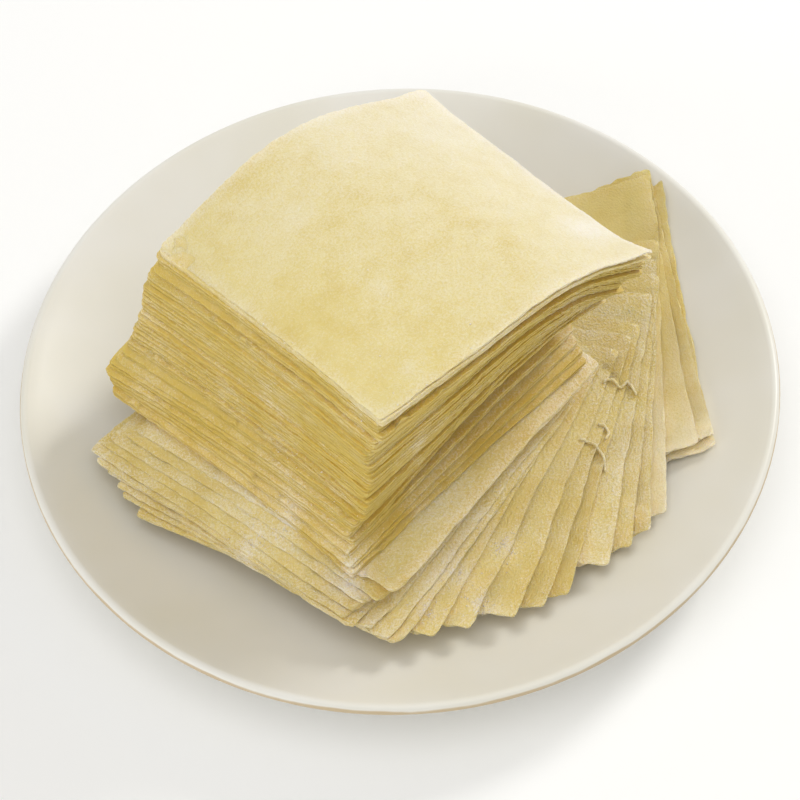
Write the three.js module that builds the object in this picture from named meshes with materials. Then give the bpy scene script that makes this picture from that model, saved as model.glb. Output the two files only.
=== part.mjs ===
// A stack of square wonton wrappers on a round coupe plate.
// The lower wrappers are fanned about their back corner, and the upper ones stand on the fan
// in a leaning block whose top sags at its sides.
// Millimetres, +Z up. The origin is the middle of the plate's foot, on the table.
// The front of the pile faces -Y.

import * as THREE from "three";

// Driving dimensions of the wrappers
const SIDE = 90; // a wrapper is a square of this side
const DOUGH = 0.66; // thickness of one rolled sheet
const FULLEST = 1.7; // thickness of a sheet that has room to swell under the next
const GAP = 0.22; // flour and air between one sheet and the next
const FAN_COUNT = 21;
const BLOCK_COUNT = 38;
const CELLS = 6; // squares along a side of a wrapper's grid

// Driving dimensions of the plate
const PLATE_RADIUS = 105;
const WELL_RADIUS = 56;
const WELL_HEIGHT = 8;
const WALL_HEIGHT = 23.2; // where the curve of the wall would end at the plate's edge
const WALL_POWER = 1.8; // how late the wall turns up between the well and the edge
const CHINA = 4; // thickness of the wall
const LIP_RADIUS = 1.7; // the wall rolls over into the lip without a step
const LIP_TILT = 28; // slope of the wall where the lip starts, in degrees
const FOOT_RADIUS = 64;
const FOOT_WIDTH = 5;
const RECESS = 2.6; // how far the base stands off the table inside the foot
const PLATE_SIDES = 52;
const UPPER_STEPS = 6; // straight runs in the wall's upper face
const UNDER_STEPS = 4; // and in its under face
const LIP_STEPS = 5;

// Where the wrappers lie, in steps from the lowest up: the share of the way up the fan or block,
// the middle of the wrapper, and the turn of its front edge in degrees
const FAN_STEPS = [
  { share: 0.0, x: 38, y: 14, turn: 94 },
  { share: 0.05, x: 35.5, y: 17, turn: 94.5 },
  { share: 0.1, x: 33, y: 16, turn: 92.5 },
  { share: 0.15, x: 28, y: 1, turn: 86 },
  { share: 0.25, x: 23, y: -6, turn: 79 },
  { share: 0.4, x: 8, y: -18.5, turn: 69.5 },
  { share: 0.55, x: -11, y: -22, turn: 60 },
  { share: 0.6, x: -14, y: -23, turn: 54 },
  { share: 0.8, x: -21.5, y: -15.5, turn: 48 },
  { share: 0.9, x: -16.5, y: -12.5, turn: 48 },
  { share: 1.0, x: -8.5, y: -12, turn: 48.5 },
];
const BLOCK_STEPS = [
  { share: 0.0, x: -12, y: -6.5, turn: 42 },
  { share: 0.06, x: -14.5, y: -4.5, turn: 44 },
  { share: 0.12, x: -16, y: -0.5, turn: 46 },
  { share: 0.35, x: -8, y: -1, turn: 43 },
  { share: 0.7, x: -3, y: -3, turn: 40 },
  { share: 1.0, x: 3, y: -5, turn: 38 },
];
const SHIFT_JITTER = 0.5; // how far a wrapper lies from its place, either way
const TURN_JITTER = 0.55; // degrees
const SIDE_JITTER = 0.007; // share of the side by which wrappers differ
const SEED = 20;

// Heights of the block: at the middle of its lowest wrapper, and at the top wrapper's front corner
const BLOCK_FOOT = 31;
const BLOCK_TOP = 97.5;
// How far the corners of the block's lowest wrapper hang below its middle
const FOOT_DROOP = { front: 7, right: 1, back: 16, left: 12 };
// The top wrapper hangs over a ridge that runs back from its front edge
const RIDGE_FALL = 4;
const LEFT_EAVE = 16; // how far the left corner hangs below the ridge
const RIGHT_EAVE = 19; // the right corner
const BACK_EAVE = 27; // the back corner
const FOLD_FRONT = 0.6; // where the right eave starts, as a share of the front edge
const FOLD_BACK = 0.4;

// Settling of draped wrappers
const RASTER = 1; // spacing of the points at which the pile's height is kept
const RASTER_HALF = 106; // half the width that they cover
const EDGE_MARGIN = 1.5; // a sheet also holds up what lies this close outside its edge
const DRAPE = 25; // beyond an edge, the sheet above comes down over this distance
const FAN_PITCH = 1.0; // from one sheet of the fan to the next
const SWEEPS = 60; // rounds of sinking
const SPRING = 0.95; // share of its neighbours' lift that a point keeps in a round
const OPEN_SKY = 1000; // a height above everything

const lerp = THREE.MathUtils.lerp;

// A repeatable source of numbers from 0 to 1
function makeRandom(seed) {
  let state = seed;
  return () => {
    state = (state * 16807) % 2147483647;
    return state / 2147483647;
  };
}
const random = makeRandom(SEED);
const jitter = (size) => (random() * 2 - 1) * size;

// Place and turn at a share of the way up, read off the steps
function between(steps, share) {
  let upper = steps.findIndex((step) => step.share >= share);
  upper = Math.max(1, upper);
  const low = steps[upper - 1];
  const high = steps[upper];
  const part = THREE.MathUtils.smoothstep(share, low.share, high.share);
  const eased = lerp((share - low.share) / (high.share - low.share), part, 0.5);
  return {
    x: lerp(low.x, high.x, eased),
    y: lerp(low.y, high.y, eased),
    turn: THREE.MathUtils.degToRad(lerp(low.turn, high.turn, eased)),
  };
}

// The curve of the plate's wall, as a height at a distance from the plate's middle
function wallCurve(radius) {
  const up = Math.max(0, (radius - WELL_RADIUS) / (PLATE_RADIUS - WELL_RADIUS));
  return WELL_HEIGHT + (WALL_HEIGHT - WELL_HEIGHT) * up ** WALL_POWER;
}

// The plate's upper face from the well out to the lip, as points of its profile
const lipTilt = THREE.MathUtils.degToRad(LIP_TILT);
const lipStart = PLATE_RADIUS - LIP_RADIUS * (1 + Math.sin(lipTilt));
const upperFace = [...Array(UPPER_STEPS + 1).keys()].map((i) => {
  const radius = lerp(WELL_RADIUS, lipStart, i / UPPER_STEPS);
  return new THREE.Vector2(radius, wallCurve(radius));
});

// Height of that face, which is straight between the points
function plateHeight(radius) {
  const inside = upperFace.filter((point) => point.x < radius).length;
  const next = THREE.MathUtils.clamp(inside, 1, UPPER_STEPS);
  const low = upperFace[next - 1];
  const high = upperFace[next];
  const along = THREE.MathUtils.clamp((radius - low.x) / (high.x - low.x), 0, 1);
  return lerp(low.y, high.y, along);
}

// Heights at evenly spaced points of the plan
class Level {
  constructor(start) {
    this.count = (2 * RASTER_HALF) / RASTER + 1;
    this.heights = new Float64Array(this.count * this.count);
    this.heights.forEach((_, index) => (this.heights[index] = start(...this.place(index))));
  }

  place(index) {
    const along = (order) => order * RASTER - RASTER_HALF;
    return [along(index % this.count), along(Math.floor(index / this.count))];
  }

  // Visits the points that a sheet covers, out to a margin round it
  eachSpot(sheet, margin, visit) {
    this.heights.forEach((height, index) => {
      const spot = sheet.spotAt(...this.place(index), margin);
      if (spot) visit(spot, height, index);
    });
  }

  // Brings the level up to the top of a sheet
  raise(sheet) {
    this.eachSpot(sheet, EDGE_MARGIN, (spot, height, index) => {
      this.heights[index] = Math.max(height, sheet.heightAt(spot, sheet.top));
    });
  }

  // Brings the level down to the underside of a sheet
  lower(sheet) {
    this.eachSpot(sheet, EDGE_MARGIN, (spot, height, index) => {
      this.heights[index] = Math.min(height, sheet.heightAt(spot, sheet.bottom));
    });
  }
}

// One wrapper: a square grid of points, each with a height of its lower and its upper face
class Sheet {
  constructor(place, side, cells) {
    Object.assign(this, place, { side, cells });
    this.face = new THREE.PlaneGeometry(side, side, cells, cells);
    const count = this.face.attributes.position.count;
    this.bottom = new Float64Array(count);
    this.top = new Float64Array(count);
  }

  // Where a grid point lies on the plan
  onPlan(index) {
    const local = new THREE.Vector2().fromBufferAttribute(this.face.attributes.position, index);
    local.rotateAround(new THREE.Vector2(), this.turn);
    return { x: this.x + local.x, y: this.y + local.y };
  }

  // A place on the plan, measured along the wrapper's front edge and across it from its middle
  local(x, y) {
    const cosine = Math.cos(this.turn);
    const sine = Math.sin(this.turn);
    const along = (x - this.x) * cosine + (y - this.y) * sine;
    const across = (y - this.y) * cosine - (x - this.x) * sine;
    return { along, across };
  }

  // The triangle of the grid that holds a place on the plan, and the place's share of each corner
  spotAt(x, y, margin) {
    const { along, across } = this.local(x, y);
    const edge = this.side / 2;
    if (Math.max(Math.abs(along), Math.abs(across)) > edge + margin) return null;
    const step = this.side / this.cells;
    const u = THREE.MathUtils.clamp((along + edge) / step, 0, this.cells);
    const v = THREE.MathUtils.clamp((edge - across) / step, 0, this.cells);
    const column = Math.min(Math.floor(u), this.cells - 1);
    const row = Math.min(Math.floor(v), this.cells - 1);
    const width = this.cells + 1;
    const corner = row * width + column;
    const right = u - column;
    const down = v - row;
    if (right + down <= 1)
      return { corners: [corner, corner + 1, corner + width], shares: [1 - right - down, right, down] };
    const far = corner + width + 1;
    return { corners: [far, corner + width, corner + 1], shares: [right + down - 1, 1 - right, 1 - down] };
  }

  heightAt(spot, heights) {
    return spot.corners.reduce((sum, corner, i) => sum + heights[corner] * spot.shares[i], 0);
  }

  neighbours(index) {
    const width = this.cells + 1;
    const column = index % width;
    const beside = [];
    if (column > 0) beside.push(index - 1);
    if (column < this.cells) beside.push(index + 1);
    if (index >= width) beside.push(index - width);
    if (index + width < width * width) beside.push(index + width);
    return beside;
  }

  // How much of the sheet's thickness lifts what lies over a place: all of it over the sheet itself,
  // and less and less beyond its edge, where the next sheet hangs down
  support(x, y) {
    const { along, across } = this.local(x, y);
    const beyond = (distance) => Math.max(0, Math.abs(distance) - this.side / 2);
    return 1 - THREE.MathUtils.smoothstep(Math.hypot(beyond(along), beyond(across)), 0, DRAPE);
  }

  // Both faces have the same triangles, and a strip closes the four sides
  mesh(name, material) {
    const flat = this.face.attributes.position;
    const count = flat.count;
    const lowest = Math.min(...this.bottom);
    const positions = [];
    for (const heights of [this.top, this.bottom])
      for (let i = 0; i < count; i++) positions.push(flat.getX(i), flat.getY(i), heights[i] - lowest);
    const triangles = this.face.index.array;
    const indices = [...triangles];
    for (let i = 0; i < triangles.length; i += 3)
      indices.push(triangles[i] + count, triangles[i + 2] + count, triangles[i + 1] + count);
    const rim = this.rim();
    rim.forEach((point, i) => {
      const next = rim[(i + 1) % rim.length];
      indices.push(point, next, next + count, point, next + count, point + count);
    });
    const geometry = new THREE.BufferGeometry();
    geometry.setAttribute("position", new THREE.Float32BufferAttribute(positions, 3));
    geometry.setIndex(indices);
    geometry.computeVertexNormals();
    const mesh = new THREE.Mesh(geometry, material);
    mesh.name = name;
    mesh.position.set(this.x, this.y, lowest);
    mesh.rotation.z = this.turn;
    return mesh;
  }

  // Grid points round the edge, clockwise seen from above
  rim() {
    const last = this.cells;
    const width = last + 1;
    const run = [...Array(last).keys()];
    return [
      ...run.map((i) => i),
      ...run.map((i) => i * width + last),
      ...run.map((i) => last * width + last - i),
      ...run.map((i) => (last - i) * width),
    ];
  }
}

// Raises a sheet clear of the pile, then lets it sink back as far as it can.
// A point sinks no faster than its neighbours, because dough keeps no sharp bends.
function settle(sheet, pile) {
  const wanted = sheet.bottom.slice();
  const touching = [...wanted].map(() => []);
  pile.eachSpot(sheet, 0, (spot, height) => {
    const contact = { spot, floor: height + GAP };
    spot.corners.forEach((corner, i) => touching[corner].push({ ...contact, share: spot.shares[i] }));
  });
  touching.forEach((contacts, i) => {
    const short = contacts.map(({ spot, floor }) => floor - sheet.heightAt(spot, wanted));
    sheet.bottom[i] = wanted[i] + Math.max(0, ...short);
  });
  for (let sweep = 0; sweep < SWEEPS; sweep++)
    touching.forEach((contacts, i) => {
      const beside = sheet.neighbours(i);
      const lifted = beside.reduce((sum, j) => sum + sheet.bottom[j] - wanted[j], 0) / beside.length;
      let lowest = wanted[i] + SPRING * lifted;
      for (const { spot, floor, share } of contacts) {
        const clear = sheet.heightAt(spot, sheet.bottom) - floor;
        if (share > 0) lowest = Math.max(lowest, sheet.bottom[i] - clear / share);
      }
      sheet.bottom[i] = lowest;
    });
  sheet.bottom.forEach((height, i) => (sheet.top[i] = height + DOUGH));
}

// Lets a sheet swell into the room under what lies over it. Where nothing does, it stays thin.
function swell(sheet, ceiling) {
  const room = new Float64Array(sheet.top.length).fill(FULLEST - DOUGH);
  ceiling.eachSpot(sheet, 0, (spot, height) => {
    const free = height < OPEN_SKY ? height - GAP - sheet.heightAt(spot, sheet.top) : 0;
    for (const corner of spot.corners) room[corner] = Math.min(room[corner], free);
  });
  room.forEach((rise, i) => (sheet.top[i] += Math.max(0, rise)));
}

// Shape of the block's lowest wrapper, as heights over its middle.
// Along runs from the left side to the right, and back from the front side to the back one.
function footShape(along, back) {
  const { front, right, back: far, left } = FOOT_DROOP;
  const weights = [
    [front, (1 - along) * (1 - back)],
    [right, along * (1 - back)],
    [far, along * back],
    [left, (1 - along) * back],
  ];
  return -weights.reduce((sum, [droop, weight]) => sum + droop * weight ** 1.5, 0);
}

// Shape of the top wrapper, as heights over its front corner
function crownShape(along, back) {
  const left = LEFT_EAVE * (1 - along) ** 3 * back ** 1.6;
  const fold = lerp(FOLD_FRONT, FOLD_BACK, back);
  const beyond = Math.max(0, (along - fold) / (1 - fold));
  const right = lerp(RIGHT_EAVE, BACK_EAVE, back ** 0.4) * beyond ** 1.5;
  return -RIDGE_FALL * back - left - right;
}

// Height of the block at a place on the plan, at a share of the way up it
function blockHeight(x, y, share) {
  const frame = between(BLOCK_STEPS, share);
  const cosine = Math.cos(frame.turn);
  const sine = Math.sin(frame.turn);
  const unit = (distance) => THREE.MathUtils.clamp(distance / SIDE + 0.5, 0, 1);
  const along = unit((x - frame.x) * cosine + (y - frame.y) * sine);
  const back = unit((y - frame.y) * cosine - (x - frame.x) * sine);
  return lerp(BLOCK_FOOT + footShape(along, back), BLOCK_TOP + crownShape(along, back), share);
}

// A wrapper at a share of the way up the fan or the block, a little out of line
function cutSheet(steps, share) {
  const place = between(steps, share);
  place.x += jitter(SHIFT_JITTER);
  place.y += jitter(SHIFT_JITTER);
  place.turn += jitter(THREE.MathUtils.degToRad(TURN_JITTER));
  return new Sheet(place, SIDE * (1 + jitter(SIDE_JITTER)), CELLS);
}

// A wrapper of the fan, draped over the sheets that lie below it
function layFanSheet(pile, below, order) {
  const sheet = cutSheet(FAN_STEPS, order / (FAN_COUNT - 1));
  sheet.bottom.forEach((_, i) => {
    const { x, y } = sheet.onPlan(i);
    const lifted = below.reduce((sum, lower) => sum + FAN_PITCH * lower.support(x, y), 0);
    sheet.bottom[i] = plateHeight(Math.hypot(x, y)) + GAP + lifted;
  });
  settle(sheet, pile);
  return sheet;
}

// A wrapper of the block, at its share of the block's height
function layBlockSheet(pile, order) {
  const share = order / (BLOCK_COUNT - 1);
  const sheet = cutSheet(BLOCK_STEPS, share);
  sheet.bottom.forEach((_, i) => {
    const { x, y } = sheet.onPlan(i);
    sheet.bottom[i] = blockHeight(x, y, share);
  });
  settle(sheet, pile);
  return sheet;
}

// The plate is turned: up the foot, out under the wall, round the lip and back over the upper face
function plateGeometry() {
  const outline = new THREE.Path();
  const footOut = FOOT_RADIUS + FOOT_WIDTH / 2;
  const footIn = FOOT_RADIUS - FOOT_WIDTH / 2;
  const lipMiddle = PLATE_RADIUS - LIP_RADIUS;
  outline.moveTo(0, RECESS);
  outline.lineTo(footIn - RECESS, RECESS);
  outline.lineTo(footIn, 0);
  outline.lineTo(footOut, 0);
  for (let i = 0; i < UNDER_STEPS; i++) {
    const radius = lerp(footOut + CHINA / 2, lipMiddle, i / UNDER_STEPS);
    outline.lineTo(radius, wallCurve(radius) - CHINA);
  }
  const lipHeight = wallCurve(lipStart) - LIP_RADIUS * Math.cos(lipTilt);
  outline.absarc(lipMiddle, lipHeight, LIP_RADIUS, -Math.PI / 3, Math.PI / 2 + lipTilt, false);
  for (const point of upperFace.slice(0, -1).reverse()) outline.lineTo(point.x, point.y);
  outline.lineTo(0, WELL_HEIGHT);
  const geometry = new THREE.LatheGeometry(outline.getPoints(LIP_STEPS), PLATE_SIDES);
  return geometry.rotateX(Math.PI / 2); // the lathe's axis is Y
}

const dough = new THREE.MeshStandardMaterial({ color: 0xe4cf94, roughness: 0.75, metalness: 0 });
const china = new THREE.MeshStandardMaterial({ color: 0xf1ece2, roughness: 0.18, metalness: 0 });

const stack = new THREE.Group();
const plate = new THREE.Mesh(plateGeometry(), china);
plate.name = "plate";
stack.add(plate);

const pile = new Level((x, y) => plateHeight(Math.hypot(x, y)));
const sheets = [];
for (let order = 0; order < FAN_COUNT; order++) {
  sheets.push(layFanSheet(pile, sheets, order));
  pile.raise(sheets.at(-1));
}
for (let order = 0; order < BLOCK_COUNT; order++) {
  sheets.push(layBlockSheet(pile, order));
  pile.raise(sheets.at(-1));
}

const ceiling = new Level(() => OPEN_SKY);
for (const sheet of sheets.toReversed()) {
  swell(sheet, ceiling);
  ceiling.lower(sheet);
}

sheets.forEach((sheet, i) => {
  const name = "wrapper_" + String(i + 1).padStart(2, "0");
  stack.add(sheet.mesh(name, dough.clone()));
});

export default stack;
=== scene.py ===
# %% [markdown]
# # A stack of wonton wrappers on a plate
# This lesson dresses a pile of thin dough sheets. The solids of the part hold every sheet's true place
# and drape. Here each sheet gets its soft waves, its ragged knife-cut edge and its flour, and the plate
# gets its glaze. We start by loading the solids as a frame that never moves.

import math
import random

import bmesh
import bpy
import numpy as np
from mathutils import Matrix, Vector, noise
from mathutils.bvhtree import BVHTree
from mathutils.kdtree import KDTree


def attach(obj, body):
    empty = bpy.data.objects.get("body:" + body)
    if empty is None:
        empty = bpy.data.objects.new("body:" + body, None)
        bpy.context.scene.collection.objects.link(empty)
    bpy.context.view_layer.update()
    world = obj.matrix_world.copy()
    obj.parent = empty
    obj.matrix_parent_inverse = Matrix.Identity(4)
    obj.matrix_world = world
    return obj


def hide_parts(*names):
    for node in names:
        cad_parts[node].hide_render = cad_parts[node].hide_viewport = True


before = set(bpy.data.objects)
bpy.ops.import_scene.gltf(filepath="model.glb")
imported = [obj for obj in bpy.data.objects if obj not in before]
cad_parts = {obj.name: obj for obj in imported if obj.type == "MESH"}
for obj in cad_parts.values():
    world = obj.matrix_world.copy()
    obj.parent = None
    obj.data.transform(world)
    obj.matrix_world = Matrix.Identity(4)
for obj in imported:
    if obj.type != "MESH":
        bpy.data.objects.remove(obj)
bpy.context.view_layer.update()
MM = 0.001
WRAPPERS = sorted(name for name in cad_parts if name.startswith("wrapper"))
print("frame holds", len(WRAPPERS), "wrappers and a plate")

# %% [markdown]
# ## Camera
# The picture looks down on the plate from the front, a little tilted, from about three quarters of a
# metre away. A camera could be dragged into place by eye. Two named angles and a distance say the same in
# a form that can be read, so its axes are worked out from those and written as the columns of a matrix.

# %% Place the camera
AIM = Vector((0, -5.9, 17.8)) * MM
DISTANCE = 750 * MM
ELEVATION = math.radians(55.3)
ROLL = math.radians(3.6)
LENS = 122.1


def camera_axes():
    back = Vector((0, -math.cos(ELEVATION), math.sin(ELEVATION)))
    level = Vector((1, 0, 0))
    upright = back.cross(level)
    right = math.cos(ROLL) * level - math.sin(ROLL) * upright
    up = math.sin(ROLL) * level + math.cos(ROLL) * upright
    return right, up, back


def place_camera():
    camera = bpy.data.objects.new("camera", bpy.data.cameras.new("camera"))
    camera.data.lens = LENS
    axes = Matrix(camera_axes()).transposed().to_4x4()
    camera.matrix_world = Matrix.Translation(AIM + camera_axes()[2] * DISTANCE) @ axes
    bpy.context.scene.collection.objects.link(camera)
    bpy.context.scene.camera = camera
    return camera


print("camera stands at", [round(x, 3) for x in place_camera().location])

# %% [markdown]
# ## Writing materials as sums
# A material is a web of nodes, and a long web is hard to read. So one small class stands for a value that
# flows along a link: adding or multiplying two of them adds the Math node that does it. A second class
# holds a material and has one method that makes any other node. With these a finish reads like a formula.

# %% Two small classes for materials
class Flow:
    """A value on a link of a material."""

    def __init__(self, finish, socket):
        self.finish = finish
        self.socket = socket

    def math(self, operation, first, second):
        return self.finish.node("ShaderNodeMath", {"operation": operation}, {0: first, 1: second})

    def __add__(self, other):
        return self.math("ADD", self, other)

    def __radd__(self, other):
        return self.math("ADD", other, self)

    def __sub__(self, other):
        return self.math("SUBTRACT", self, other)

    def __rsub__(self, other):
        return self.math("SUBTRACT", other, self)

    def __mul__(self, other):
        return self.math("MULTIPLY", self, other)

    def __rmul__(self, other):
        return self.math("MULTIPLY", other, self)

    def rise(self, start, end):
        """0 below start, 1 above end, and a smooth step between."""
        inputs = {"Value": self, "From Min": start, "From Max": end}
        return self.finish.node("ShaderNodeMapRange", {"interpolation_type": "SMOOTHSTEP"}, inputs)


class Finish:
    """A material, and the one way to add a node to it."""

    def __init__(self, name):
        self.material = bpy.data.materials.new(name)
        self.material.use_nodes = True
        self.tree = self.material.node_tree
        self.shader = self.tree.nodes["Principled BSDF"]

    def node(self, kind, settings, inputs, output=0):
        made = self.tree.nodes.new(kind)
        for key, value in settings.items():
            setattr(made, key, value)
        self.fill(made, inputs)
        return Flow(self, made.outputs[output])

    def fill(self, made, inputs):
        for key, value in inputs.items():
            if isinstance(value, Flow):
                self.tree.links.new(value.socket, made.inputs[key])
            else:
                made.inputs[key].default_value = value

    def place(self):
        return self.node("ShaderNodeTexCoord", {}, {}, "Object")

    def scaled(self, place, factors):
        return self.node("ShaderNodeVectorMath", {"operation": "MULTIPLY"}, {0: place, 1: factors})

    def noise(self, place, size, detail):
        inputs = {"Vector": place, "Scale": 1 / size, "Detail": detail}
        return self.node("ShaderNodeTexNoise", {}, inputs)

    def attribute(self, name):
        return self.node("ShaderNodeAttribute", {"attribute_name": name}, {}, "Fac")

    def blend(self, share, first, second):
        """Mixes two colours, which a Mix node takes at its inputs 6 and 7 and gives at its output 2."""
        return self.node("ShaderNodeMix", {"data_type": "RGBA"}, {0: share, 6: first, 7: second}, 2)

    def bump(self, height, depth, strength):
        inputs = {"Height": height, "Distance": depth, "Strength": strength}
        return self.node("ShaderNodeBump", {}, inputs)

    def paint(self, **inputs):
        self.fill(self.shader, {key.replace("_", " "): value for key, value in inputs.items()})
        return self.material


def colour(red, green, blue):
    """A colour as a screen shows it, from 0 to 255, turned into light."""
    def light(part):
        part = part / 255
        return part / 12.92 if part <= 0.04045 else ((part + 0.055) / 1.055) ** 2.4
    return (light(red), light(green), light(blue), 1.0)


print("material classes ready")

# %% [markdown]
# ## The dough's finish
# Wonton dough is flour, egg and water, rolled thin: golden and a little see-through, so its edges glow.
# It is dusted with flour that lies in a veil, thicker in patches, and clings to the cut edges as white
# flecks. A picture could be wrapped on it, but the sheets are cut and turned, so the flour is worked out
# from noise instead. Each sheet carries a few numbers at every point: how floury it is, how grainy the
# flour, how near its cut edge, and where it lies between the lower face and the upper one. The last draws
# a fine groove along the cuts of the block, because two thin sheets that cling together look like one
# sheet with a line; the groove is darkened with painted shade. Near a cut the dough is painted a deeper
# gold, most on the block, partly its own tone seen edge on and partly painted shade of light scattered
# between the stacked sheets. Noise runs from 0 to 1, so noise less a half swings about zero.

# %% Mix the dough
DOUGH = colour(232, 211, 141)
DEEP_DOUGH = colour(215, 186, 90)
# Painted shade: the darker colour laid in the groove between two clinging sheets.
GROOVE_SHADE = colour(190, 155, 66)
FLOUR = colour(251, 240, 220)
CLOUD_SIZE = 22 * MM
PATCH_SIZE = 6 * MM
GRAIN_SIZE = 0.75 * MM
DUST_SIZE = 0.35 * MM
FLATTER = (1, 1, 2.5)
GROOVE_WANDER = 0.4
GROOVE_WIDTH = 0.03
GROOVE_SHADE_TINT = 0.5
CLOUD_FLOUR = 0.3
RIM_FLOUR = 0.12
GROOVE_FLOUR = 0.25
PATCH_SPECKLE = 0.35
GRAIN_SPECKLE = 1.2
DUST_SPECKLE = 1.4
FLOUR_SHOWS = (0.1, 1.1)
MOTTLE = 0.6
# Partly painted shade: near a cut the dough turns a deeper gold, its own tone seen edge on and the warm
# shade of light scattered between the stacked sheets.
RIM_DEEPENS_AND_SHADES = 0.5
PALE_FROM = 0.75
DUST_RELIEF = 0.4
PATCH_RELIEF = 0.6
GROOVE_RELIEF = 0.8
RELIEF_DEPTH = 0.5 * MM
RELIEF_STRENGTH = 0.85
DOUGH_ROUGHNESS = 0.48
FLOUR_ROUGHNESS = 0.3
GLOW_TINT = (1.0, 0.85, 0.35)
GLOW_DEPTH = 1.8 * MM


def dough_finish():
    finish = Finish("floured_dough")
    place = finish.place()
    flatter = finish.scaled(place, FLATTER)
    cloud = finish.noise(place, CLOUD_SIZE, detail=3.0)
    patch = finish.noise(place, PATCH_SIZE, detail=4.0)
    grain = finish.noise(flatter, GRAIN_SIZE, detail=3.0)
    dust = finish.noise(flatter, DUST_SIZE, detail=2.0)
    rim = finish.attribute("rim")
    floury = finish.attribute("floury")
    grainy = finish.attribute("grainy")
    from_middle = finish.attribute("upper") - 0.5 - (patch - 0.5) * GROOVE_WANDER
    groove_and_shade = (1 - (from_middle * from_middle).rise(0.0, GROOVE_WIDTH)) * rim
    density = floury + (cloud - 0.5) * CLOUD_FLOUR + rim * RIM_FLOUR - groove_and_shade * GROOVE_FLOUR
    flecks = (patch - 0.5) * PATCH_SPECKLE + (grain - 0.5) * GRAIN_SPECKLE + (dust - 0.5) * DUST_SPECKLE
    white = (density + flecks * grainy).rise(*FLOUR_SHOWS)
    # Near a cut the tone is pushed to deep gold: partly the dough's own tone, partly painted shade between
    # the sheets.
    pale = (patch * MOTTLE + cloud * MOTTLE - rim * RIM_DEEPENS_AND_SHADES).rise(0.0, PALE_FROM)
    body = finish.blend(pale, DEEP_DOUGH, DOUGH)
    # Painted shade: the groove between two clinging sheets is darkened towards this colour.
    body = finish.blend(groove_and_shade * GROOVE_SHADE_TINT, body, GROOVE_SHADE)
    relief = (grain + dust * DUST_RELIEF + patch * PATCH_RELIEF) * grainy - groove_and_shade * GROOVE_RELIEF
    return finish.paint(
        Base_Color=finish.blend(white, body, FLOUR),
        Roughness=DOUGH_ROUGHNESS + white * FLOUR_ROUGHNESS,
        Normal=finish.bump(relief, RELIEF_DEPTH, RELIEF_STRENGTH),
        Subsurface_Weight=0.4,
        Subsurface_Radius=GLOW_TINT,
        Subsurface_Scale=GLOW_DEPTH,
        Specular_IOR_Level=0.35,
    )


floured_dough = dough_finish()
print("dough mixed with", len(floured_dough.node_tree.nodes), "nodes")

# %% [markdown]
# ## Softening one sheet
# A solid of the frame has wide flat triangles, and real dough has none. The sheet could be modelled afresh,
# but then its drape would have to be found again. So a copy of the solid is merged, its triangles are
# joined into squares, and a Subdivision Surface rounds it. The edges of the cut are creased first, so that
# they stay square.

# %% Round a sheet
CUT_ANGLE = math.radians(55)
ROUNDING = 2
TOUCH = 0.01 * MM


def crease_cut(bm):
    crease = bm.edges.layers.float.new("crease_edge")
    for edge in bm.edges:
        if edge.calc_face_angle(0) > CUT_ANGLE:
            edge[crease] = 1


def mark_upper(bm):
    """Writes 1 on the points of the upper face and 0 on those of the lower one."""
    upper = bm.verts.layers.float.new("upper")
    bm.normal_update()
    for vert in bm.verts:
        vert[upper] = float(vert.normal.z > 0)


def rounded_copy(node):
    bm = bmesh.new()
    bm.from_mesh(node.data)
    bmesh.ops.remove_doubles(bm, verts=bm.verts, dist=TOUCH)
    bmesh.ops.join_triangles(bm, faces=bm.faces, angle_face_threshold=1.0, angle_shape_threshold=1.0)
    crease_cut(bm)
    mark_upper(bm)
    mesh = bpy.data.meshes.new("rounding")
    bm.to_mesh(mesh)
    draft = bpy.data.objects.new("rounding", mesh)
    bpy.context.scene.collection.objects.link(draft)
    smooth = draft.modifiers.new("rounding", "SUBSURF")
    smooth.levels = smooth.render_levels = ROUNDING
    bm.clear()
    bm.from_object(draft, bpy.context.evaluated_depsgraph_get())
    bpy.data.objects.remove(draft)
    bpy.data.meshes.remove(mesh)
    return bm


print("each sheet is rounded", ROUNDING, "times")

# %% [markdown]
# ## The plan of a sheet
# Every wrapper is a square that lies turned by a few degrees. Seen from above, its front corner and its
# middle say all about it, so a small class keeps them and tells how far a point lies from the cut edge.
# A knife's raggedness is much finer than a fold, so the edges along the cut are divided once more, and
# only those, which keeps the mesh light.

# %% Know the square and divide its cut
FRONT = np.array((0.35, -0.94))
ON_CUT = 5 * TOUCH
SHORT_EDGE = 1 * MM
EDGE_CUTS = 4


class Square:
    """The plan of a square sheet: its middle, half its side, and its edges from the front corner on."""

    def __init__(self, points):
        plan = points[:, :2]
        self.middle = (plan.min(axis=0) + plan.max(axis=0)) / 2
        reach = plan - self.middle
        corner = reach[np.argmax(reach @ FRONT)]
        self.half = np.linalg.norm(corner) / math.sqrt(2)
        x, y = -corner / (2 * self.half)
        self.along = np.array((x + y, y - x))
        self.across = np.array((x - y, x + y))

    def local(self, points):
        reach = points[:, :2] - self.middle
        return np.stack((reach @ self.along, reach @ self.across), axis=1)

    def from_edge(self, points):
        return self.half - np.abs(self.local(points)).max(axis=1)


def points_of(bm):
    return np.array([vert.co for vert in bm.verts])


def divide_cut(bm, square):
    inset = square.from_edge(points_of(bm))
    on_cut = {vert for vert, depth in zip(bm.verts, inset) if depth < ON_CUT}

    def runs_along(edge):
        first, second = edge.verts
        level = (first.co - second.co).xy.length
        return first in on_cut and second in on_cut and level > SHORT_EDGE

    edges = [edge for edge in bm.edges if runs_along(edge)]
    bmesh.ops.subdivide_edges(bm, edges=edges, cuts=EDGE_CUTS, use_grid_fill=True)


print("each edge of a cut is divided in", EDGE_CUTS + 1)

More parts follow.
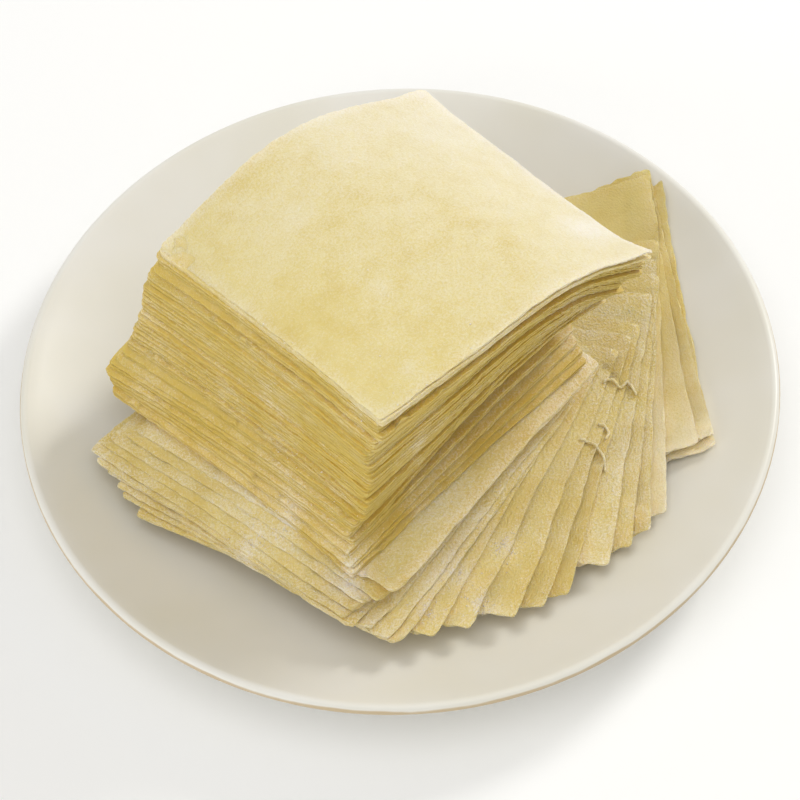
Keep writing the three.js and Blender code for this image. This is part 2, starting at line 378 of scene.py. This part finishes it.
# %% [markdown]
# ## Waves and ragged cuts
# No two sheets lie alike, yet neighbours must not cut into each other. So the waves come from one field of
# noise that fills the whole pile: sheets that touch ride the same wave. The raggedness of a cut is the
# opposite, because every sheet is cut by itself, so its noise changes fast with height. At the right the
# sheets lie apart, and there each edge also wanders in a slow meander of its own.

# %% Wave and fray a sheet
WAVE_LENGTH = 17 * MM
WAVE_DECK = 14 * MM
WAVE_MIDDLE = 0.25
WAVE_EDGE = 0.75
WAVE_SEED = 3.7
SOFT_EDGE = 16 * MM
BLUNT_POWER = 80
NEVER_ZERO = 1e-9
LOOSE_START = -40 * MM
LOOSE_WIDTH = 30 * MM
RAGGED_LENGTH = 5 * MM
RAGGED_DECK = 0.55 * MM
RAGGED_SEED = 11.3
FRAY_LENGTH = 1.6 * MM
FRAY_SHARE = 0.45
FRAY_SEED = 23.9
MEANDER_LENGTH = 13 * MM
MEANDER_SEED = 7.7
TALL_DECK = 1.0


def field(points, length, deck, seed):
    """Smooth noise from -1 to 1 whose size is length across and deck upwards."""
    scale = np.array((1 / length, 1 / length, 1 / deck))
    shift = Vector((seed, seed, seed))
    return np.array([noise.noise(Vector(point) + shift) for point in points * scale])


def smooth_share(value):
    """0 below 0, 1 above 1, and a smooth step between."""
    value = np.clip(value, 0, 1)
    return value * value * (3 - 2 * value)


def wave(points, square, height):
    near = WAVE_MIDDLE + WAVE_EDGE * smooth_share(1 - square.from_edge(points) / SOFT_EDGE)
    points[:, 2] += height * near * field(points, WAVE_LENGTH, WAVE_DECK, WAVE_SEED)


def blunt(points, square):
    """Rounds the corners of the plan a little."""
    local = np.abs(square.local(points)) / square.half
    reach = (local ** BLUNT_POWER).sum(axis=1) ** (1 / BLUNT_POWER)
    scale = local.max(axis=1) / np.maximum(reach, NEVER_ZERO)
    points[:, :2] = square.middle + (points[:, :2] - square.middle) * scale[:, None]


def loose_share(points):
    """1 at the right, where the leaves lie apart, and 0 at the left, where their edges lie close."""
    return smooth_share((points[:, 0] - LOOSE_START) / LOOSE_WIDTH)


def fray(points, square, depth, meander, order):
    """Moves the cut edge in and out: a fine tear, and a slow meander that differs from sheet to sheet."""
    local = square.local(points)
    inset = square.half - np.abs(local)
    on_cut = (inset < ON_CUT).any(axis=1)
    cut = points[on_cut]
    ragged = field(cut, RAGGED_LENGTH, RAGGED_DECK, RAGGED_SEED) * depth
    ragged += field(cut, FRAY_LENGTH, RAGGED_DECK, FRAY_SEED) * depth * FRAY_SHARE
    ragged += field(cut, MEANDER_LENGTH, TALL_DECK, MEANDER_SEED * order) * meander * loose_share(cut)
    outward = np.sign(local[on_cut]) * (inset[on_cut] < ON_CUT)
    axes = np.stack((square.along, square.across))
    points[on_cut, :2] += ragged[:, None] * (outward @ axes)


print("waves are", round(WAVE_LENGTH / MM), "mm long and tears", round(RAGGED_LENGTH / MM), "mm")

# %% [markdown]
# ## Free edges, curled tips and hanging ends
# Thin dough dries from its edges. An edge of the fan that no other sheet holds down stands up in long
# uneven waves, and the tips of the two top sheets curl. The right ends of the block hang down where the
# pile below them ends, and some sheets have been pushed out under the top one. A simulation of cloth could
# find such forms, but a few smooth steps give each of them a name and a size that can be changed.

# %% Lift, curl, bend and push
LIFT = 3.4 * MM
LIFT_WIDTH = 8 * MM
LIFT_START = 3 * MM
LIFT_LENGTH = 15 * MM
LIFT_MEAN = 0.45
LIFT_SWING = 0.55
LIFT_SEED = 5.1
UNHELD = 1.0
CURL_POWER = 1.5
BEND_WAY = np.array((0.97, -0.24))
BEND_START = 48 * MM
BEND_WIDTH = 22 * MM
BEND = 6 * MM
SPLAY_WIDTH = 18 * MM


def uncovered(points, above):
    """How far each point lies outside every sheet above it."""
    outside = [-square.from_edge(points) for square in above]
    return np.maximum(0, np.min(outside, axis=0)) if outside else np.full(len(points), UNHELD)


def lift_edge(points, square, above, order):
    """Dried edges that nothing holds down stand up in long uneven waves."""
    free = smooth_share(uncovered(points, above) / LIFT_START) * loose_share(points)
    near = smooth_share(1 - square.from_edge(points) / LIFT_WIDTH)
    uneven = LIFT_MEAN + LIFT_SWING * field(points, LIFT_LENGTH, TALL_DECK, LIFT_SEED * order)
    points[:, 2] += LIFT * free * near * np.maximum(0, uneven)


def curl(points, square, tip, reach, lift):
    """Lifts one tip of a sheet; the tip is the corner that points most in a direction of the plan."""
    signs = np.sign(np.array((tip @ square.along, tip @ square.across)))
    corner = square.middle + square.half * (signs[0] * square.along + signs[1] * square.across)
    away = np.linalg.norm(points[:, :2] - corner, axis=1)
    points[:, 2] += lift * smooth_share(1 - away / reach) ** CURL_POWER


def bend_right(points, share):
    """Lets the right end of a sheet hang down, where the pile below it ends."""
    beyond = points[:, :2] @ BEND_WAY - BEND_START
    points[:, 2] -= BEND * share * smooth_share(beyond / BEND_WIDTH)


def splay(points, square, reach):
    """Pushes the front edge out from under the top sheet."""
    near = smooth_share(1 - (square.half + square.local(points)[:, 1]) / SPLAY_WIDTH)
    points[:, :2] -= reach * near[:, None] * square.across


print("free edges rise up to", round(LIFT / MM, 1), "mm")

# %% [markdown]
# ## The whole shape of a sheet
# The pile has two parts. The lower sheets are fanned out to the right and move freely, so they get larger
# waves and lifted edges. The block on top of them is pressed together, so its sheets stay quiet, and only
# the upper ones are pushed about. One source of chance serves the whole pile. It is asked in the order in
# which the pieces are made, so every run gives the same pile.

# %% Shape a sheet of the fan or the block
FAN_SHEETS = 21
FAN_WAVE = 0.8 * MM
FAN_TEAR = 0.4 * MM
FAN_MEANDER = 0.6 * MM
BLOCK_WAVE = 0.45 * MM
BLOCK_TEAR = 0.3 * MM
BLOCK_MEANDER = 0.2 * MM
BEND_SHEETS = 8
SPLAY_SHEETS = 9
SPLAY_MILLIMETRES = (-0.3, 1.5)
CURLED_SHEETS = 2
CURL_FADE = 0.5
RIGHT_TIP = np.array((1.0, -0.25))
BACK_TIP = np.array((0.2, 1.0))
LEFT_TIP = np.array((-1.0, 0.1))
TIP_CURLS = [
    (RIGHT_TIP, 13 * MM, 2.2 * MM),
    (BACK_TIP, 14 * MM, 1.6 * MM),
    (LEFT_TIP, 10 * MM, 1.0 * MM),
]
draw = random.Random(8)


def in_fan(order):
    return order < FAN_SHEETS


def sheets_over(order):
    return len(WRAPPERS) - 1 - order


def shape_fan_sheet(points, square, above, order):
    wave(points, square, FAN_WAVE)
    fray(points, square, FAN_TEAR, FAN_MEANDER, order)
    blunt(points, square)
    lift_edge(points, square, above, order)


def shape_block_sheet(points, square, order):
    from_top = sheets_over(order)
    wave(points, square, BLOCK_WAVE)
    fray(points, square, BLOCK_TEAR, BLOCK_MEANDER, order)
    blunt(points, square)
    bend_right(points, min(1, from_top / BEND_SHEETS))
    if 0 < from_top < SPLAY_SHEETS:
        splay(points, square, draw.uniform(*SPLAY_MILLIMETRES) * MM)
    if from_top < CURLED_SHEETS:
        for tip, reach, lift in TIP_CURLS:
            curl(points, square, tip, reach, lift * CURL_FADE ** from_top)


def shape_sheet(points, square, above, order):
    if in_fan(order):
        shape_fan_sheet(points, square, above, order)
    else:
        shape_block_sheet(points, square, order)


print("the fan has", FAN_SHEETS, "sheets and the block", len(WRAPPERS) - FAN_SHEETS)

# %% [markdown]
# ## Where the flour and painted light lie
# Flour keeps the sheets from sticking. The top sheet was dusted last, so it has the most. It is paler
# towards the back right, partly with more flour and partly with painted light where the main lamp falls.
# A sheet below has its own share, with soft clouds in it. The leaves at the right end of the fan are
# painted paler to the front, as painted light where the main lamp falls on them, and darker to the back,
# as painted shade under the block. Flour has also spilt in spots. It could be painted by hand on each
# sheet, but spots given once, as places on the plan, fall on every sheet that lies under them.

# %% Work out the flour
TOP_FLOUR = 0.48
# Partly painted light: the top sheet grows paler towards the back right, where the main lamp falls.
TOP_FLOUR_AND_LIGHT_FADE = 4.8
TOP_PALER_WAY = np.array((0.6, 0.8))
FAN_FLOUR = (0.12, 0.36)
BLOCK_FLOUR = (0.02, 0.22)
FLOUR_CLOUD = 0.2
FLOUR_CLOUD_LENGTH = 15 * MM
FLOUR_CLOUD_SEED = 31.7
RIGHT_LEAVES = 4
# Painted light and shade: the right leaves are paler at the front, where the main lamp falls, and darker at
# the back, in the block's shade.
RIGHT_FLOUR_AND_LIGHT = (0.12, 0.5)
RIGHT_LENGTH = 60 * MM
SPILLS = [
    (-16, -70, 7, 0.55),
    (18, -73, 6, 0.4),
    (25, -56, 6, 0.4),
    (4, -76, 6, 0.35),
    (13, -64, 8, 0.25),
    (-42, -54, 9, 0.3),
    (-31, -53, 8, 0.3),
]
THIN_SPOTS = [
    (3, -53, 5, 0.2),
    (-3, -28, 5, 0.22),
    (-24, 0, 7, 0.12),
    (-38, 8, 8, 0.12),
    # This spot pales the right corner of the top sheet and the right leaves under it.
    (50, -4, 10, 0.3),
]


def flour_on(points, order):
    """How floury each point of a sheet is: its own share, soft clouds, and spilt spots, with painted light
    and shade mixed in on the top sheet and the right leaves.
    """
    if sheets_over(order) == 0:
        # The top sheet is paler towards the back right: partly flour, partly painted light.
        floury = TOP_FLOUR + TOP_FLOUR_AND_LIGHT_FADE * points[:, :2] @ TOP_PALER_WAY
    else:
        floury = draw.uniform(*(FAN_FLOUR if in_fan(order) else BLOCK_FLOUR))
        cloud = field(points, FLOUR_CLOUD_LENGTH, FLOUR_CLOUD_LENGTH, FLOUR_CLOUD_SEED)
        floury = floury + FLOUR_CLOUD * cloud
    # Painted light to the front of the right leaves and painted shade to their back.
    if order < RIGHT_LEAVES:
        back, front = RIGHT_FLOUR_AND_LIGHT
        floury = back + (front - back) * smooth_share(0.5 - points[:, 1] / RIGHT_LENGTH)
    for x, y, radius, amount in SPILLS + THIN_SPOTS:
        away = np.linalg.norm(points[:, :2] - np.array((x, y)) * MM, axis=1)
        floury = floury + amount * smooth_share(1 - away / (radius * MM))
    return floury


print("flour lies in", len(SPILLS), "spills and", len(THIN_SPOTS), "thin spots")

# %% [markdown]
# ## Closing the gaps at the left
# On the left side of the real pile the cuts lie edge to edge like the pages of a book, while our waves and
# roundings leave thin dark slits. Thicker solids would cut into each other, so each sheet is swollen
# instead, just until it meets the one above. A ray sent up from a point measures the room. It starts a
# little lower and further in, because a ray at the very edge can miss the sheet above, and the middle
# one of the nearest rooms is used, so that a single miss leaves no pit.

# %% Swell a sheet into its gap
FILL_LIMIT = 1.8 * MM
FILL_WIDTH = 40 * MM
FILL_INSET = 1.2 * MM
PROBE_DEPTH = 0.4 * MM
PRESS = 0.02 * MM
NEAREST = 5
NEIGHBOURS = 2
UPPER_FACE = 0.99
UP = Vector((0, 0, 1))


def room_over(point, trees):
    """Height of the free room over a point, up to the limit."""
    start = Vector(point) - UP * PROBE_DEPTH
    hits = [tree.ray_cast(start, UP, FILL_LIMIT + PROBE_DEPTH) for tree in trees[-NEIGHBOURS:]]
    rooms = [hit[3] - PROBE_DEPTH for hit in hits if hit[3] is not None]
    return min(rooms) + PRESS if rooms else 0.0


def fill_gap(points, upper, square, trees):
    """Swells the upper face at the left until it meets the sheet above."""
    tops = np.flatnonzero(upper > UPPER_FACE)
    probes = points.copy()
    probes[:, :2] += (square.middle - probes[:, :2]) * FILL_INSET / square.half
    rooms = np.array([room_over(probes[i], trees) for i in tops])
    plan = KDTree(len(tops))
    for index, i in enumerate(tops):
        plan.insert((points[i][0], points[i][1], 0), index)
    plan.balance()
    near = [[found[1] for found in plan.find_n((x, y, 0), NEAREST)] for x, y, _ in points]
    left = square.half + square.local(points)[:, 0]
    points[:, 2] += np.median(rooms[near], axis=1) * upper * smooth_share(1 - left / FILL_WIDTH)


print("gaps up to", round(FILL_LIMIT / MM, 1), "mm are closed at the left")

# %% [markdown]
# ## Laying the pile
# Now every wrapper of the frame is copied, rounded, shaped and painted. A pile is laid from the table up,
# but ours is made from the top down, because a sheet has to know those above it: they hold its edges down
# and give the room that it may fill. The numbers that the dough reads are kept as attributes of the mesh.
# The cut edges of the block are deep gold, partly their own tone and partly painted shade of light
# scattered between the sheets. Those of the fan and the two top sheets are dry and pale with flour, and
# paler still as a painted highlight where the main lamp catches them.

# %% Make the sheets
RIM_WIDTH = 3 * MM
DEEP_RIM = 1.0
PALE_RIM = 0.3
# Partly flour and partly a painted highlight: the pale cut edges of the fan and the top sheets are whitened
# as if the main lamp caught them.
PALE_RIM_FLOUR_AND_HIGHLIGHT = 0.17
PALE_SHEETS = 2
TOP_GRAIN = 0.5
BLOCK_GRAIN = 0.75
FAN_GRAIN = 1.0
RIGHT_GRAIN = 0.4


def keep_attribute(mesh, name, values):
    attribute = mesh.attributes.new(name, "FLOAT", "POINT")
    attribute.data.foreach_set("value", np.ascontiguousarray(values, dtype=np.float32))


def finish_mesh(bm, name, material):
    mesh = bpy.data.meshes.new(name)
    bm.to_mesh(mesh)
    bm.free()
    mesh.materials.append(material)
    mesh.shade_smooth()
    piece = bpy.data.objects.new(name, mesh)
    bpy.context.scene.collection.objects.link(piece)
    return piece


def grain_of(order):
    """How grainy the flour of a sheet looks."""
    if order < RIGHT_LEAVES:
        return RIGHT_GRAIN
    if in_fan(order):
        return FAN_GRAIN
    return BLOCK_GRAIN if sheets_over(order) else TOP_GRAIN


def dust_sheet(mesh, points, inset, order):
    """Keeps the numbers that the dough reads."""
    pale = in_fan(order) or sheets_over(order) < PALE_SHEETS
    rim = smooth_share(1 - inset / RIM_WIDTH)
    keep_attribute(mesh, "rim", rim * (PALE_RIM if pale else DEEP_RIM))
    # The pale edges get extra whiteness, partly flour and partly painted highlight.
    keep_attribute(mesh, "floury", flour_on(points, order) + rim * (PALE_RIM_FLOUR_AND_HIGHLIGHT if pale else 0.0))
    keep_attribute(mesh, "grainy", np.full(len(points), grain_of(order)))


def lay_sheet(order, above, trees):
    name = WRAPPERS[order]
    square = Square(np.array([vert.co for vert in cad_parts[name].data.vertices]))
    bm = rounded_copy(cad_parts[name])
    divide_cut(bm, square)
    points = points_of(bm)
    inset = square.from_edge(points)
    layer = bm.verts.layers.float["upper"]
    upper = np.array([vert[layer] for vert in bm.verts])
    shape_sheet(points, square, above, order)
    fill_gap(points, upper, square, trees)
    for vert, point in zip(bm.verts, points):
        vert.co = point
    for edge in bm.edges:
        edge.smooth = edge.calc_face_angle(0) < CUT_ANGLE
    above.append(square)
    trees.append(BVHTree.FromBMesh(bm))
    piece = finish_mesh(bm, name.replace("wrapper", "dough"), floured_dough)
    dust_sheet(piece.data, points, inset, order)
    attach(piece, "root")
    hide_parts(name)
    return piece


squares_above = []
trees_above = []
sheets = [lay_sheet(order, squares_above, trees_above) for order in reversed(range(len(WRAPPERS)))]
print("laid", len(sheets), "sheets with", sum(len(sheet.data.polygons) for sheet in sheets), "faces")

# %% [markdown]
# ## Torn strings
# Where the sheets were pulled apart, thin strings of dough are left at the edges. They lie on whatever is
# below them. A curve with a bevel could draw them, but its height would have to be set by hand. A ray sent
# down at a place on the plan finds that height, so a string needs only its course on the plan. It is a row
# of small circles joined by bridges, thinner at both ends.

# %% Lay the strings
STRINGS = [
    [(48, -24), (50.5, -24.5), (52.8, -27), (54, -30), (54.2, -33.5)],
    [(56, -6), (58.5, -4.6), (60.8, -6.8), (63.4, -5.6), (65.2, -9.4)],
    [(53.6, -18.6), (55.4, -19), (56.3, -21.4), (55.2, -23.8)],
]
STRING_RADIUS = 0.42 * MM
STRING_END = 0.45
STRING_SINKS = 0.6
STRING_SIDES = 8
STRING_STEPS = 5
STRING_FLOUR = 0.55
SKY = 0.2


def height_at(x, y, trees):
    """Top of some sheets at a place on the plan, or nothing beside them."""
    hits = [tree.ray_cast(Vector((x, y, SKY)), -UP) for tree in trees]
    heights = [hit[0].z for hit in hits if hit[0] is not None]
    return max(heights) if heights else None


def smooth_course(corners):
    """Points on the plan of a smooth course through the corners."""
    plan = [Vector((x, y, 0)) * MM for x, y in corners]
    knots = [plan[0]] + plan + [plan[-1]]
    course = []
    for before, start, end, after in zip(knots, knots[1:], knots[2:], knots[3:]):
        for i in range(STRING_STEPS):
            t = i / STRING_STEPS
            bend = (end - before) * (t - 2 * t ** 2 + t ** 3) + (after - start) * (t ** 3 - t ** 2)
            course.append(start + (end - start) * (3 * t ** 2 - 2 * t ** 3) + bend / 2)
    course.append(plan[-1])
    return course


def string_course(corners):
    """The course laid on the fan, a little higher in its middle."""
    course = smooth_course(corners)
    for i, point in enumerate(course):
        rise = math.sin(math.pi * i / (len(course) - 1))
        fan_height = height_at(point.x, point.y, trees_above[-FAN_SHEETS:])
        point.z = fan_height + STRING_RADIUS * (STRING_SINKS + rise)
    return course


def ring_edges(ring):
    """The edges that join the points of one ring."""
    touching = {edge for vert in ring for edge in vert.link_edges}
    return [edge for edge in touching if all(vert in ring for vert in edge.verts)]


def add_string(bm, corners):
    course = string_course(corners)
    last = None
    for i, point in enumerate(course):
        ahead = course[min(i + 1, len(course) - 1)] - course[max(i - 1, 0)]
        turn = ahead.to_track_quat("Z", "Y").to_matrix().to_4x4()
        ends = i in (0, len(course) - 1)
        radius = STRING_RADIUS * (STRING_END if ends else 1.0)
        place = Matrix.Translation(point) @ turn
        circle = bmesh.ops.create_circle(
            bm, cap_ends=ends, segments=STRING_SIDES, radius=radius, matrix=place
        )
        edges = ring_edges(circle["verts"])
        if last:
            bmesh.ops.bridge_loops(bm, edges=last + edges)
        last = edges


def lay_strings(bm):
    for corners in STRINGS:
        add_string(bm, corners)


def scattered(name, fill, floury):
    """One loose piece of many bits, with the same flour all over."""
    bm = bmesh.new()
    fill(bm)
    bmesh.ops.recalc_face_normals(bm, faces=bm.faces)
    piece = finish_mesh(bm, name, floured_dough)
    count = len(piece.data.vertices)
    keep_attribute(piece.data, "rim", np.zeros(count))
    keep_attribute(piece.data, "floury", np.full(count, floury))
    keep_attribute(piece.data, "grainy", np.ones(count))
    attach(piece, "root")
    print(name, "has", len(piece.data.polygons), "faces")


scattered("dough_strings", lay_strings, STRING_FLOUR)

# %% [markdown]
# ## Flour crumbs
# Loose flour has gathered into crumbs where it was spilt, and a few have rolled away. A particle system
# would scatter them, but it gives little hold on where they lie. So each crumb is a small ball, flattened
# and turned by chance, that is set down on the sheet below it. All of them make one piece.

# %% Scatter the crumbs
CRUMBS = 420
CRUMB_RADIUS = (0.1 * MM, 0.28 * MM)
CRUMB_WIDTH = (0.7, 1)
CRUMB_HEIGHT = (0.5, 0.8)
CRUMB_RAISED = 0.3
CRUMB_SPREAD = 0.55
CRUMB_STRAYS = (0, 0, 14)
CRUMB_FLOUR = 1.1


def add_crumb(bm, x, y):
    height = height_at(x, y, trees_above)
    if height is None:
        return
    radius = draw.uniform(*CRUMB_RADIUS)
    width = radius * draw.uniform(*CRUMB_WIDTH)
    thickness = radius * draw.uniform(*CRUMB_HEIGHT)
    shape = Matrix.Diagonal((radius, width, thickness, 1))
    place = Matrix.Translation((x, y, height + radius * CRUMB_RAISED))
    turn = Matrix.Rotation(draw.uniform(0, math.pi), 4, "Z")
    bmesh.ops.create_icosphere(bm, subdivisions=1, radius=1, matrix=place @ turn @ shape)


def scatter_crumbs(bm):
    for _ in range(CRUMBS):
        x, y, radius, _ = draw.choice(SPILLS)
        spread = draw.gauss(0, CRUMB_SPREAD) * radius + draw.choice(CRUMB_STRAYS) * draw.gauss(0, 1)
        turn = draw.uniform(0, math.tau)
        add_crumb(bm, (x + spread * math.cos(turn)) * MM, (y + spread * math.sin(turn)) * MM)


scattered("flour_crumbs", scatter_crumbs, CRUMB_FLOUR)

# %% [markdown]
# ## The plate's form
# A coupe plate has no flat brim: its wall curves up from the well to a thin rounded lip. It is thrown or
# pressed on a wheel, so half a section spun about the axis is the natural way to make it.

# %% Spin the plate
PLATE_RADIUS = 105 * MM
WELL_RADIUS = 56 * MM
WELL_HEIGHT = 8 * MM
WALL_HEIGHT = 23.2 * MM
WALL_POWER = 1.8
CHINA = 4 * MM
LIP_RADIUS = 1.7 * MM
LIP_TILT = math.radians(28)
LIP_START = -math.pi / 3
FOOT_RADIUS = 64 * MM
FOOT_WIDTH = 5 * MM
RECESS = 2.6 * MM
WALL_STEPS = 16
LIP_STEPS = 10
PLATE_SIDES = 144


def wall_height(radius):
    share = max(0.0, (radius - WELL_RADIUS) / (PLATE_RADIUS - WELL_RADIUS))
    return WELL_HEIGHT + (WALL_HEIGHT - WELL_HEIGHT) * share ** WALL_POWER


def steps(start, end, count):
    return [start + (end - start) * i / count for i in range(count + 1)]


def plate_section():
    """Half the section, from the middle of the underside round the lip to the middle of the well."""
    foot_in = FOOT_RADIUS - FOOT_WIDTH / 2
    foot_out = FOOT_RADIUS + FOOT_WIDTH / 2
    lip_middle = PLATE_RADIUS - LIP_RADIUS
    inner = lip_middle - LIP_RADIUS * math.sin(LIP_TILT)
    section = [(0, RECESS), (foot_in - RECESS, RECESS), (foot_in, 0), (foot_out, 0)]
    under = steps(foot_out + CHINA / 2, lip_middle, WALL_STEPS)[:-1]
    section += [(radius, wall_height(radius) - CHINA) for radius in under]
    lip_height = wall_height(inner) - LIP_RADIUS * math.cos(LIP_TILT)
    for turn in steps(LIP_START, math.pi / 2 + LIP_TILT, LIP_STEPS):
        section.append((lip_middle + LIP_RADIUS * math.cos(turn), lip_height + LIP_RADIUS * math.sin(turn)))
    section += [(radius, wall_height(radius)) for radius in steps(inner, WELL_RADIUS, WALL_STEPS)[1:]]
    section += [(WELL_RADIUS * 2 / 3, WELL_HEIGHT), (WELL_RADIUS / 3, WELL_HEIGHT), (0, WELL_HEIGHT)]
    return section


def spin_plate():
    bm = bmesh.new()
    verts = [bm.verts.new((radius, 0, height)) for radius, height in plate_section()]
    edges = [bm.edges.new(pair) for pair in zip(verts, verts[1:])]
    bmesh.ops.spin(
        bm,
        geom=verts + edges,
        cent=(0, 0, 0),
        axis=(0, 0, 1),
        angle=math.tau,
        steps=PLATE_SIDES,
        use_merge=True,
    )
    bmesh.ops.remove_doubles(bm, verts=bm.verts, dist=TOUCH)
    bmesh.ops.recalc_face_normals(bm, faces=bm.faces)
    return bm


print("the plate's section has", len(plate_section()), "points")

# %% [markdown]
# ## The plate's glaze
# The glaze is clear over a cream body. A thin tan line round the lip is painted shade: it stands for the
# shaded outer edge of the lip. The line could be a ring of its own, but it is only a colour, so it is
# painted by the distance from the axis, with a little noise to make it waver. A faint ripple keeps the
# glaze from looking like plastic.

# %% Glaze the plate
PORCELAIN = colour(233, 231, 224)
WARM_PORCELAIN = colour(228, 225, 213)
WARM_SIZE = 40 * MM
WARM_SHOWS = (0.3, 0.7)
RIPPLE_SIZE = 7 * MM
RIPPLE_DEPTH = 0.2 * MM
RIPPLE_STRENGTH = 0.08
# Painted shade: a tan line round the lip that stands for the shaded outer edge of the lip.
LIP_SHADE = colour(190, 164, 118)
LIP_SHADE_START = PLATE_RADIUS - 0.4 * MM
LIP_SHADE_SOFT = 0.3 * MM
LIP_SHADE_TINT = 0.8
WAVER_SIZE = 12 * MM
WAVER = 0.5
FLAT = (1, 1, 0)
GLAZE_ROUGHNESS = 0.3
RIPPLE_ROUGHNESS = 0.1
LIP_SHADE_ROUGHNESS = 0.15


def porcelain_finish():
    finish = Finish("cream_porcelain")
    place = finish.place()
    flat = finish.scaled(place, FLAT)
    radius = finish.node("ShaderNodeVectorMath", {"operation": "LENGTH"}, {0: flat}, "Value")
    cloud = finish.noise(place, WARM_SIZE, detail=2.0)
    ripple = finish.noise(place, RIPPLE_SIZE, detail=2.0)
    waver = finish.noise(place, WAVER_SIZE, detail=2.0)
    # Mask of the painted shade along the lip.
    lip_shade = (radius + (waver - 0.5) * WAVER * MM).rise(LIP_SHADE_START, LIP_SHADE_START + LIP_SHADE_SOFT)
    body = finish.blend(cloud.rise(*WARM_SHOWS), PORCELAIN, WARM_PORCELAIN)
    return finish.paint(
        # The lip gets its painted shade here.
        Base_Color=finish.blend(lip_shade * LIP_SHADE_TINT, body, LIP_SHADE),
        Roughness=GLAZE_ROUGHNESS + ripple * RIPPLE_ROUGHNESS + lip_shade * LIP_SHADE_ROUGHNESS,
        Normal=finish.bump(ripple, RIPPLE_DEPTH, RIPPLE_STRENGTH),
        Specular_IOR_Level=0.4,
    )


plate = finish_mesh(spin_plate(), "porcelain_plate", porcelain_finish())
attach(plate, "root")
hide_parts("plate")
print("plate spun with", len(plate.data.polygons), "faces")

# %% [markdown]
# ## Floor and light
# A plain white floor and soft lamps keep the eye on the food. The main lamp stands behind and to the
# right, so the top sheet is bright and the plate's near left lies in the pile's shade. A wide lamp hangs
# high over the plate and opens the fan, and a weak low lamp lights the left side alone, so that the side
# that faces right stays deep.

# %% Set the studio
FLOOR_SIDE = 6.0
FLOOR = colour(251, 251, 250)
FLOOR_PALER = colour(253, 253, 252)
FLOOR_MOTTLE = 0.3
LAMP_AIM = Vector((0, 0, 40 * MM))
WARM_WHITE = (1.0, 0.99, 0.965)
SOFT_WHITE = (1.0, 0.995, 0.975)
LAMPS = [
    ("main_lamp", (0.95, 0.72, 0.85), 0.4, 7.8, WARM_WHITE),
    ("high_lamp", (-0.1, -0.4, 1.45), 1.3, 5.0, SOFT_WHITE),
    ("left_lamp", (-1.0, -0.75, 0.4), 0.9, 3.8, SOFT_WHITE),
]
ROOM_WHITE = (1.0, 0.995, 0.985, 1.0)
ROOM_POWER = 0.6


def floor_finish():
    finish = Finish("pale_floor")
    mottle = finish.noise(finish.place(), FLOOR_MOTTLE, detail=2.0)
    return finish.paint(Base_Color=finish.blend(mottle, FLOOR, FLOOR_PALER), Roughness=0.8)


def lay_floor():
    bm = bmesh.new()
    bmesh.ops.create_grid(bm, x_segments=1, y_segments=1, size=FLOOR_SIDE / 2)
    floor = finish_mesh(bm, "floor", floor_finish())


def hang_lamp(name, place, size, power, tint):
    lamp = bpy.data.lights.new(name, "AREA")
    lamp.shape = "DISK"
    lamp.size = size
    lamp.energy = power
    lamp.color = tint
    hung = bpy.data.objects.new(name, lamp)
    hung.location = place
    hung.rotation_euler = (LAMP_AIM - Vector(place)).to_track_quat("-Z", "Y").to_euler()
    bpy.context.scene.collection.objects.link(hung)


def light_room():
    world = bpy.data.worlds.new("studio")
    world.use_nodes = True
    background = world.node_tree.nodes["Background"]
    background.inputs["Color"].default_value = ROOM_WHITE
    background.inputs["Strength"].default_value = ROOM_POWER
    bpy.context.scene.world = world


lay_floor()
for lamp in LAMPS:
    hang_lamp(*lamp)
light_room()
bpy.context.scene.view_settings.view_transform = "Standard"
print("studio set with", len(LAMPS), "lamps")
